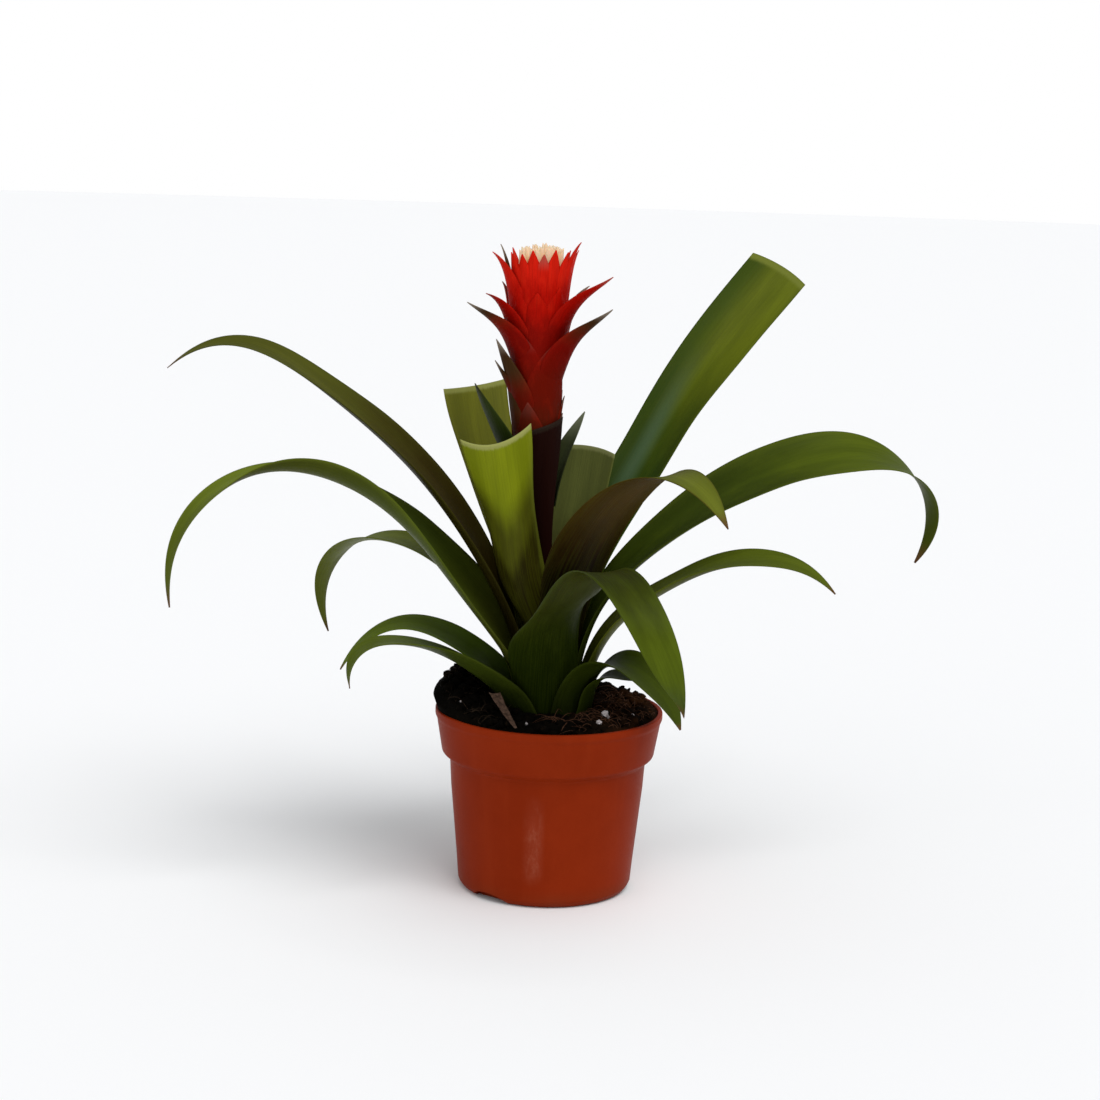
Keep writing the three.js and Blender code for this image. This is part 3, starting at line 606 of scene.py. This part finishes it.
def stalk_bract_material():
    s = Surface("stalk_bract", roughness=0.5, specular=0.04)
    grain, length = s.mark("grain", "Vector"), s.mark("along")
    veins = s.noise(grain, 1, 2, 0.55, stretch=(3, 0.08, 9))
    mottle = s.noise(grain, 0.25, 4, 0.6, stretch=(1, 0.4, 9))
    pale = s.mark("dry")
    dark = s.ramp(length, ((0, (30, 12, 4)), (0.4, (12, 22, 3)), (0.85, (24, 38, 4)), (1, (30, 30, 8))))
    light = s.ramp(length, ((0, (10, 14, 4)), (0.6, (30, 38, 12)), (1, (160, 180, 110))))
    colour = s.blend(pale, dark, light)
    colour = s.blend(s.step(veins, 0.45, 0.7, 0, 0.3), colour, (50, 60, 25))
    colour = s.blend(s.step(mottle, 0.5, 0.8, 0, 0.3), colour, (12, 18, 4))
    return s.finish(colour, None, veins, depth=0.0003, strength=0.5)


def stalk_material():
    s = Surface("stalk", roughness=0.5, specular=0.12)
    streaks = s.noise(s.place(), 900, 3, 0.6, stretch=(1, 1, 0.06))
    colour = s.ramp(streaks, ((0.3, (100, 20, 8)), (0.6, (200, 30, 10)), (0.8, (120, 50, 15))))
    return s.finish(colour, None, streaks, depth=0.0003, strength=0.4)


def flower_material():
    """Cream tubes, faintly greener at the foot, with a whiter mouth."""
    s = Surface("cream_flower", roughness=0.5, specular=0.15, Subsurface_Weight=0.15, Subsurface_Scale=0.002)
    length = s.mark("along")
    place = s.place()
    mottle = s.noise(place, 500, 4, 0.6)
    streaks = s.noise(place, 1300, 3, 0.6, stretch=(1, 1, 0.12))
    colour = s.ramp(length, ((0, (600, 400, 100)), (0.45, (780, 500, 260)), (1, (880, 660, 440))))
    colour = s.blend(s.step(streaks, 0.45, 0.7, 0, 0.3), colour, (720, 460, 200))
    colour = s.blend(s.step(mottle, 0.55, 0.8, 0, 0.3), colour, (700, 350, 160))
    return s.finish(colour, None, streaks, depth=0.0002, strength=0.4)


def pot_material():
    """Matt-satin moulded plastic: fine grain, faint upright flow streaks and a darker, browner foot.
    A pale upright streak down the front is a painted highlight.
    """
    s = Surface("pot_plastic", roughness=0.5, specular=0.025)
    place = s.place()
    grain = s.noise(place, 1500, 4, 0.65)
    cloud = s.noise(place, 28, 5, 0.6)
    flow = s.noise(place, 120, 4, 0.6, stretch=(1, 1, 0.1))
    scuff = s.noise(place, 210, 6, 0.75, stretch=(1, 1, 0.45))
    colour = s.ramp(cloud, ((0.3, (200, 17, 2)), (0.7, (230, 21, 3))))
    colour = s.blend(s.step(flow, 0.45, 0.7, 0, 0.25), colour, (260, 28, 5))
    colour = s.blend(s.step(grain, 0.5, 0.72, 0, 0.22), colour, (160, 12, 2))
    colour = s.blend(s.step(scuff, 0.66, 0.8, 0, 0.3), colour, (320, 70, 30))
    x, y, z = (s.node("SeparateXYZ", {"Vector": place}, output=axis) for axis in range(3))
    # Painted highlight: a pale upright streak at the front that stands in for the reflection on the plastic.
    off_highlight = s.math("ABSOLUTE", s.minus(x, POT["painted_highlight_line"] * MM))
    upright = s.times(s.step(z, 0.008, 0.018), s.step(z, 0.048, 0.032))
    painted_highlight = s.times(s.step(off_highlight, 0.005, 0), upright,
                     s.times(s.step(scuff, 0.4, 0.66, 0.12, 0.42), s.step(y, 0, -0.01)))
    colour = s.blend(painted_highlight, colour, (360, 110, 65))
    # Darker and browner towards the bottom of the pot.
    foot = s.times(s.step(z, 0.009, 0), s.step(cloud, 0.35, 0.7, 0.1, 0.5))
    colour = s.blend(foot, colour, (120, 30, 12))
    rough = s.plus(s.step(grain, 0.3, 0.7, 0.36, 0.46), s.step(scuff, 0.55, 0.8, 0, 0.15))
    height = s.plus(s.times(grain, 0.6), s.times(flow, 0.5))
    return s.finish(colour, rough, height, depth=0.00012, strength=0.5)


def soil_material():
    s = Surface("peat", roughness=0.95, specular=0.03)
    place = s.place()
    lumps = s.noise(place, 320, 6, 0.7)
    patches = s.noise(place, 70, 4, 0.6)
    colour = s.ramp(lumps, ((0.3, (1, 0.8, 0.5)), (0.55, (2.5, 1.8, 1)), (0.75, (12, 7, 4))))
    right = s.step(s.node("SeparateXYZ", {"Vector": place}, output=0), 0, 0.035)
    brown = s.times(s.step(patches, 0.4, 0.65, 0.1, 0.8), right)
    colour = s.blend(brown, colour, (35, 13, 4))
    return s.finish(colour, None, lumps, depth=0.0012, strength=0.8)


def scrap_material(name, dark, light, roughness=0.8):
    """Dry plant matter: streaked along its length."""
    s = Surface(name, roughness=roughness, specular=0.06)
    streaks = s.noise(s.place(), 700, 5, 0.65)
    colour = s.ramp(streaks, ((0.3, dark), (0.7, light)))
    return s.finish(colour, None, streaks, depth=0.0003, strength=0.6)


# The pot


def inner_radius(z):
    """Radius of the pot's inside, where the wall is thicker at the lip."""
    wall = POT["wall"] + 0.7 if z > 69 else POT["wall"]
    return float(np.interp(z, *zip(*POT_OUTSIDE))) - wall


def lathe(name, profile, sectors, shift=lambda z: 0):
    """Closed solid of revolution from a profile of (radius, height) that starts and ends on the axis."""
    corners = []
    for r, z in profile:
        for i in range(sectors if r else 1):
            x, y = on_circle(r, 360 * i / sectors)
            corners.append(Vector((x + shift(z), y, z)) * MM)
    last = len(corners) - 1
    faces = fan(1, 0, sectors) + fan(last - sectors, last, sectors)
    for first in range(1, last - sectors, sectors):
        faces += band(first, first + sectors, sectors)
    return new_mesh(name, corners, faces)


def rounded(profile, steps=4, share=0.3, most=0.9):
    """The same profile with each corner rounded off."""
    points = [np.array(p, float) for p in profile]
    made = [points[0]]
    for before, corner, after in zip(points, points[1:], points[2:]):
        ways = before - corner, after - corner
        lengths = [np.linalg.norm(way) for way in ways]
        reach = min(min(lengths) * share, most)
        start, finish = (corner + way / length * reach for way, length in zip(ways, lengths))
        made += [bezier((start, corner, finish), k / steps) for k in range(steps + 1)]
    return [tuple(p) for p in (*made, points[-1])]


def drill(holes, radius, reach, azimuth, tilt=Matrix(), squash=1):
    """Adds a cylinder to the holes, at a distance from the pot's middle."""
    place = Matrix.Rotation(math.radians(azimuth), 4, "Z") @ Matrix.Translation((reach * MM, 0, 0))
    bmesh.ops.create_cone(holes, cap_ends=True, segments=48, radius1=radius * MM, radius2=radius * MM,
                          depth=20 * MM, matrix=place @ tilt @ Matrix.Diagonal((squash, 1, 1, 1)))


def build_pot():
    outside = [(r, z) for z, r in POT_OUTSIDE]
    inside = [(inner_radius(z), z) for z in (POT["height"], 68, POT["collar_foot"] - 0.4,
                                             POT["shoulder"] - 1.2, 41, 25, 12, 3.2)]
    profile = rounded([(0, 0), *outside, *inside, (32, POT["floor"]), (0, POT["floor"])])
    mesh = lathe("pot_shell", profile, 180)
    joined = bmesh.new()
    lying, squash = Matrix.Rotation(math.pi / 2, 4, "Y"), 2 * POT["notch_height"] / POT["notch_width"]
    for azimuth in POT["notch_azimuths"]:
        drill(joined, POT["notch_width"] / 2, POT["notch_reach"], azimuth, lying, squash)
    for i in range(POT["drain_holes"]):
        drill(joined, POT["drain_hole"], POT["drain_radius"], 360 * (i + 0.5) / POT["drain_holes"])
    holes = bpy.data.meshes.new("pot_holes")
    joined.to_mesh(holes)
    joined.free()
    made = piece("pot_shell", mesh, pot_material(), "pot", "pot")
    tool = put("pot_holes", holes)
    cut = made.modifiers.new("holes", "BOOLEAN")
    cut.object, cut.operation, cut.solver = tool, "DIFFERENCE", "EXACT"
    bpy.context.view_layer.update()
    cut_mesh = bpy.data.meshes.new_from_object(made.evaluated_get(bpy.context.evaluated_depsgraph_get()))
    made.modifiers.clear()
    made.data = cut_mesh
    bpy.data.objects.remove(tool)
    cut_mesh.polygons.foreach_set("use_smooth", [True] * len(cut_mesh.polygons))
    cut_mesh.set_sharp_from_angle(angle=math.radians(35))


# The soil, with what lies in it


def soil_height(r, azimuth):
    x, y = on_circle(r, azimuth)
    reach = (r - SOIL["hole_top"]) / (inner_radius(SOIL["edge"]) - SOIL["hole_top"])
    heap = SOIL["heap"] * bell(azimuth, SOIL["heap_azimuth"], SOIL["heap_spread"])
    heap = heap * np.sin(np.pi * np.minimum(1, 0.2 + 0.45 * reach)) ** 2
    dome = 1.4 + 1.6 * bell(azimuth, 60, 70) - 1.6 * reach**3 * (1 - bell(azimuth, 158, 50))
    return float(POT["height"] + heap + dome + 0.5 * np.sin(0.31 * x + 1) * np.cos(0.37 * y))


def ground(x, y):
    """Height of the soil at a place, or nearer the middle than 20 mm its height at 20 mm."""
    return soil_height(max(math.hypot(x, y), 20), math.degrees(math.atan2(y, x)) % 360)


def lump(x, y, z, size):
    return noise.noise(Vector((x, y, z)) / size)


def build_soil():
    """The soil: its top roughened at three sizes, its side just clear of the pot's wall, and its base."""
    sectors, rings = 260, 62
    rim = inner_radius(SOIL["edge"]) - SOIL["clearance"]
    corners = []
    for k in range(rings + 1):
        share = k / rings
        for i in range(sectors):
            azimuth = 360 * i / sectors
            over = bell(azimuth, SOIL["overhang_azimuth"], SOIL["overhang_spread"])
            spill = SOIL["overhang"] * float(over * smooth(1 - share * 8))
            r = mix(rim, 2, share) + spill
            z = soil_height(max(r, SOIL["hole_top"]), azimuth)
            z -= 1.4 * smooth((SOIL["hole_top"] - r) / 10)
            x, y = on_circle(r, azimuth)
            inside = float(smooth(share * 14))
            rough = 1.5 * lump(x, y, z, 5.5) + 0.9 * lump(x + 40, y, z, 2.4) + 0.5 * lump(x, y + 70, z, 1.1)
            corners.append((x * MM, y * MM, (z - 1.2 * (1 - inside) + rough * (0.3 + 0.7 * inside)) * MM))
    middle = len(corners)
    corners.append((0, 0, 71 * MM))
    first_wall = len(corners)
    for z in (68, POT["collar_foot"] - 0.4, POT["shoulder"] - 1.2, 25, 4):
        r = inner_radius(z) - SOIL["clearance"]
        for i in range(sectors):
            corners.append((*on_circle(r * MM, 360 * i / sectors), z * MM))
    base = len(corners)
    corners.append((0, 0, 2.1 * MM))
    low = base - sectors
    faces = fan(rings * sectors, middle, sectors) + band(first_wall, 0, sectors) + fan(low, base, sectors)
    for first in (*range(0, rings * sectors, sectors), *range(first_wall, low, sectors)):
        faces += band(first, first + sectors, sectors)
    piece("peat", new_mesh("peat", corners, faces), soil_material(), "soil", "soil")


def chance(count, seed):
    return np.random.default_rng(seed).random((count, 6))


def ball(subdivisions):
    """Corners and triangles of a ball of radius 1."""
    work = bmesh.new()
    bmesh.ops.create_icosphere(work, subdivisions=subdivisions, radius=1)
    made = np.array([v.co for v in work.verts]), [[v.index for v in f.verts] for f in work.faces]
    work.free()
    return made


def build_crumbs():
    """Loose crumbs of peat, thickest on the heap and by the rim."""
    corners, faces = [], []
    points, triangles = ball(2)
    for n, (a, b, c, d, e, f) in enumerate(chance(SOIL["crumbs"], 11)):
        azimuth = 360 * a if n % 3 else 158 + 110 * (a - 0.5)
        r = mix(20, 42.2, b**0.7)
        size = mix(0.5, 1.9, c**2.2) * (1.25 if n % 3 == 0 else 1)
        z = soil_height(r, azimuth) + size * 0.3 + 0.4 * (d - 0.5)
        z -= smooth((r - 40.5) / 2)
        at = np.array([*on_circle(r, azimuth), z])
        dents = np.array([1 + 0.45 * lump(*(p * 1.2 + n * 3.1), 1) for p in points])
        stretch = np.array([1 + 0.5 * (d - 0.3), 1, 0.6 + 0.5 * e])
        turn = np.array(Matrix.Rotation(6.3 * f, 3, Vector((e - 0.5, d - 0.5, 1)).normalized()))
        crumb = (points * dents[:, None] * stretch * size) @ turn.T + at
        add_part(corners, faces, crumb * MM, triangles)
    piece("peat_crumbs", new_mesh("peat_crumbs", corners, faces), soil_material(), "soil")


def tube(points, radii, sides):
    """Corners and faces of a closed tube along points."""
    points = [Vector(p) for p in points]
    corners, faces = [], []
    for k, p in enumerate(points):
        way = (points[min(k + 1, len(points) - 1)] - points[max(k - 1, 0)]).normalized()
        side = way.cross(Vector((0.3, 0.2, 1))).normalized()
        other = way.cross(side)
        for i in range(sides):
            a = 2 * math.pi * i / sides
            corners.append(p + (side * math.cos(a) + other * math.sin(a)) * radii[k])
    last = (len(points) - 1) * sides
    for first in range(0, last, sides):
        faces += band(first, first + sides, sides)
    faces += [tuple(range(sides)), tuple(range(last, last + sides))]
    return corners, faces


def build_fibres():
    """Fine root fibres on the peat: brown at the right, dark and looser on the heap."""
    for name, count, middle, spread, seed, dark, light in (
            ("root_fibres_brown", 150, 335, 120, 5, (30, 12, 6), (120, 55, 30)),
            ("root_fibres_dark", 130, 165, 150, 7, (8, 5, 3), (40, 25, 15))):
        corners, faces = [], []
        for a, b, c, d, e, f in chance(count, seed):
            azimuth, r = middle + spread * (a - 0.5), mix(23, 41.5, b)
            heading, curl = 2 * math.pi * c, 3.2 * (d - 0.5)
            length = mix(4, 12, e)
            x, y = on_circle(r, azimuth)
            path = []
            for k in range(9):
                reach = math.hypot(x, y)
                if reach > SOIL["fibre_reach"]:
                    x, y = x * SOIL["fibre_reach"] / reach, y * SOIL["fibre_reach"] / reach
                arch = (0.5 + 1.8 * f) * math.sin(math.pi * k / 8)
                path.append(Vector((x, y, ground(x, y) + 0.35 + arch)) * MM)
                heading += curl / 8 + 0.25 * math.sin(k * 1.7 + 9 * f)
                x += length / 8 * math.cos(heading)
                y += length / 8 * math.sin(heading)
            width = mix(0.07, 0.17, f) * MM
            add_part(corners, faces, *tube(path, [width * (1 - 0.6 * k / 8) for k in range(9)], 5))
        piece(name, new_mesh(name, corners, faces), scrap_material(name, dark, light), "soil")


def build_perlite():
    """A few white grains in the peat, most of them in front and at the right."""
    corners, faces = [], []
    points, triangles = ball(3)
    for n, (azimuth, r, size) in enumerate(PERLITE):
        dents = np.array([1 + 0.5 * lump(*(p * 1.4 + n * 5), 1) for p in points])
        at = np.array([*on_circle(r, azimuth), soil_height(r, azimuth) + 0.45 * size])
        add_part(corners, faces, (points * dents[:, None] * size + at) * MM, triangles)
    mesh = new_mesh("perlite", corners, faces)
    piece("perlite", mesh, scrap_material("perlite", (300, 260, 260), (800, 740, 740), 0.9), "soil")


def build_straw():
    """A curled scrap of dry leaf, its narrow end on the soil and its wide end against a leaf."""
    rows, columns = 40, 10
    foot, top = np.array(STRAW["foot"]), np.array(STRAW["top"])
    direction = unit(top - foot)
    side = np.array([-direction[1], direction[0]])
    start = ground(*foot)
    corners = []
    for face in (1, -1):
        for i in range(rows + 1):
            t = i / rows
            half = mix(0.9, STRAW["width"], t**0.7) / 2 * (1 + 0.1 * math.sin(17 * t) * t)
            for j in range(columns + 1):
                q = 2 * j / columns - 1
                ragged = 1 + 0.05 * q * smooth(8 * t - 7)
                x, y = foot + (top - foot) * t * ragged + side * half * q
                lift = 0.7 + 0.6 * q * q * t - 0.5 * math.sin(math.pi * t) + 0.12 * lump(x, y, 0, 1.2)
                corners.append((x * MM, y * MM, (start + STRAW["rise"] * t + lift + 0.12 * face) * MM))
    mesh = new_mesh("dry_scrap", corners, sheet_faces(rows, columns, 0))
    piece("dry_scrap", mesh, scrap_material("dry_scrap", (30, 17, 11), (110, 65, 45)), "straw",
          "straw_scrap")


# The plant


def build_leaves():
    made = {}
    for name, leaf in LEAVES.items():
        cut = bool(leaf.get("cut"))
        key = (leaf["tone"], cut)
        if key not in made:
            made[key] = leaf_material(*key)
        spec = dict(leaf, radius=LAYER_INNER + LAYER_STEP * leaf["layer"], foot=LEAF_BASE, wave=0.3, rib=0.12)
        blade = name.replace("leaf", "blade")
        slot = {"pale": "leaf_pale", "maroon": "leaf_dark"}.get(leaf["tone"], "leaf")
        piece(blade, strip_mesh(blade, [spec], *LEAF_GRID), made[key], slot, name)


def build_stalk():
    top, foot, r = STALK["top"], STALK["foot"], STALK["radius"]
    rings = [(r + 0.08 * math.sin(0.5 * z), z) for z in np.linspace(foot, top, 90)]
    mesh = lathe("flower_stalk", [(0, foot), *rings, (0, top)], 40, stalk_shift)
    piece("flower_stalk", mesh, stalk_material(), "stalk", "stalk")


def build_stalk_bracts():
    material = stalk_bract_material()
    for name, b in STALK_BRACTS.items():
        belly = mix(np.array(b["hug"]), b["tip"], 0.4)
        spec = dict(azimuth=b["azimuth"], path=(b["foot"], b["hug"], belly, b["tip"]), width=b["width"],
                    wrap=60, channel=40, open=0.6, thick=0.7, edge=0.25, on_stalk=True, rib=0.15,
                    tip_width=0.4)
        mesh = strip_mesh(name, [spec], *STALK_BRACT_GRID)
        set_mark(mesh, "dry", np.full(len(mesh.vertices), b["pale"]))
        piece(name.replace("stalk_", "clasping_"), mesh, material, "stalk_bract", name)


def head_radius(z):
    radii, heights = zip(*HEAD_CORE)
    return float(np.interp(z, heights, radii))


def bract_spec(azimuth, foot, tip_radius, tip_height, width, leave):
    """A bract that hugs the head and then leans out to its tip."""
    rise = tip_height - foot
    start = head_radius(foot) - 0.4
    hug = head_radius(foot + 0.45 * rise) + 1.1
    close, spread = smooth((16 - tip_radius) / 3), smooth((tip_radius - 24) / 6)
    belly = mix(hug, tip_radius, mix(0.14, 0.5, spread))
    return dict(azimuth=azimuth, path=((start, foot), (hug, foot + mix(0.42, 0.7, spread) * rise),
                                       (belly, foot + leave * rise), (tip_radius, tip_height)),
                width=width, wrap=48, channel=52, open=0.5, flatten=0.4, taper_from=mix(0.36, 0.5, close),
                taper_power=mix(1.2, 1.8, close), thick=0.9, tip_width=0.3, on_stalk=True, rib=0.15)


def redness(z):
    """0 low on the head, where the bracts are brown, and 1 at the crown."""
    return (z - 165) / 85


def build_head():
    heights = np.linspace(HEAD_CORE[0][1], HEAD_CORE[-1][1], 40)
    profile = [(0, heights[0]), *[(head_radius(z) - 0.3, z) for z in heights], (0, heights[-1])]
    material = bract_material()
    core = lathe("head_core", profile, 60, stalk_shift)
    z = corners_of(core)[:, 2]
    for mark, values in (("rise", redness(z)), ("dry", 0 * z), ("along", 0 * z + 0.3), ("across", 0 * z)):
        set_mark(core, mark, values)
    set_mark(core, "grain", corners_of(core))
    specs = [bract_spec(*b[:6]) for b in HEAD_BRACTS]
    mesh = strip_mesh("head_bracts", specs, *HEAD_BRACT_GRID)
    each = len(mesh.vertices) // len(specs)
    set_mark(mesh, "rise", redness(corners_of(mesh)[:, 2]))
    set_mark(mesh, "dry", np.repeat([b[6] for b in HEAD_BRACTS], each))
    piece("red_bracts", mesh, material, "bract", "head_bracts")
    piece("head_core", core, material, "bract")


def build_flowers():
    """Cream tubes that stand in the crown, each with three small lobes at its mouth."""
    corners, faces, lengths = [], [], []
    ring, count = FLOWERS["ring"], FLOWERS["tubes"]
    for n in range(count):
        reach = (ring + 2.2) * math.sqrt((n + 0.5) / count)
        x, y = on_circle(reach, GOLDEN_ANGLE * n)
        height = FLOWERS["top"] - FLOWERS["foot"] - 0.9 * (n * 7 % 5) / 4 - 0.22 * reach
        way = Vector((0.03 * x, 0.03 * y, 1)).normalized()
        side = way.cross(Vector((0, 1, 0))).normalized()
        other = way.cross(side)
        foot = Vector((0.8 * x + stalk_shift(FLOWERS["foot"]), 0.8 * y, FLOWERS["foot"] - 2))
        rows, sides = 26, 24
        first = len(corners)
        for k in range(rows + 1):
            t = k / rows
            mouth = max(0, (t - 0.72) / 0.28)
            for i in range(sides):
                a = 2 * math.pi * i / sides
                lobe = 0.5 + 0.5 * math.cos(3 * a + n)
                r = 1.35 + 0.5 * math.sin(math.pi * min(1, t * 1.1)) - (0.9 - 0.35 * lobe) * mouth**1.6
                r *= 1 + 0.1 * math.cos(3 * a + n) * t
                up = (height + 2) * t + 0.9 * lobe * mouth**1.5
                corners.append((foot + way * up + (side * math.cos(a) + other * math.sin(a)) * r) * MM)
                lengths.append(t)
        corners.append((foot + way * (height + 1.4)) * MM)
        lengths.append(1)
        corners.append(foot * MM)
        lengths.append(0)
        last = first + rows * sides
        faces += fan(last, len(corners) - 2, sides) + fan(first, len(corners) - 1, sides)
        for ring_start in range(first, last, sides):
            faces += band(ring_start, ring_start + sides, sides)
    mesh = new_mesh("cream_flowers", corners, faces)
    set_mark(mesh, "along", lengths)
    piece("cream_flowers", mesh, flower_material(), "flower", "flowers")


# Camera, light and floor


def build_camera():
    down, roll = math.radians(CAMERA_DOWN), math.radians(CAMERA_ROLL)
    turn = Matrix.Rotation(math.pi / 2 - down, 4, "X") @ Matrix.Rotation(roll, 4, "Z")
    lens = bpy.data.cameras.new("camera")
    lens.lens, lens.sensor_width, lens.clip_start, lens.clip_end = CAMERA_LENS, CAMERA_SENSOR, 0.05, 50
    camera = put("camera", lens)
    away = Matrix.Translation((0, 0, CAMERA_DISTANCE * MM))
    camera.matrix_world = Matrix.Translation(CAMERA_TARGET * MM) @ turn @ away
    bpy.context.scene.camera = camera


def soft_sun(name, source, width, strength):
    """Soft parallel light that comes from the direction of source."""
    data = bpy.data.lights.new(name, "SUN")
    data.angle, data.energy = math.radians(width), strength
    put(name, data).matrix_world = (-Vector(source)).to_track_quat("-Z", "Y").to_matrix().to_4x4()


def build_stage():
    work = bmesh.new()
    bmesh.ops.create_circle(work, cap_ends=True, segments=96, radius=FLOOR_RADIUS)
    mesh = bpy.data.meshes.new("floor")
    work.to_mesh(mesh)
    work.free()
    surface = Surface("pale_floor", roughness=0.9, specular=0.1)
    mesh.materials.append(surface.finish((940, 940, 940)))
    put("floor", mesh)
    world = bpy.data.worlds.new("studio")
    world.use_nodes = True
    nodes, links = world.node_tree.nodes, world.node_tree.links
    nodes["Background"].inputs["Color"].default_value = (0.95, 0.97, 1, 1)
    nodes["Background"].inputs["Strength"].default_value = 0.5
    backdrop = nodes.new("ShaderNodeBackground")
    backdrop.inputs["Color"].default_value = (1, 1, 1, 1)
    seen, either = nodes.new("ShaderNodeLightPath"), nodes.new("ShaderNodeMixShader")
    links.new(seen.outputs["Is Camera Ray"], either.inputs[0])
    links.new(nodes["Background"].outputs[0], either.inputs[1])
    links.new(backdrop.outputs[0], either.inputs[2])
    links.new(either.outputs[0], nodes["World Output"].inputs[0])
    bpy.context.scene.world = world
    for name, light in LIGHTS.items():
        soft_sun(name, *light)
    bpy.context.scene.view_settings.view_transform = "Standard"


build_camera()
build_stage()
build_pot()
build_soil()
build_crumbs()
build_fibres()
build_perlite()
build_straw()
build_leaves()
build_stalk()
build_stalk_bracts()
build_head()
build_flowers()
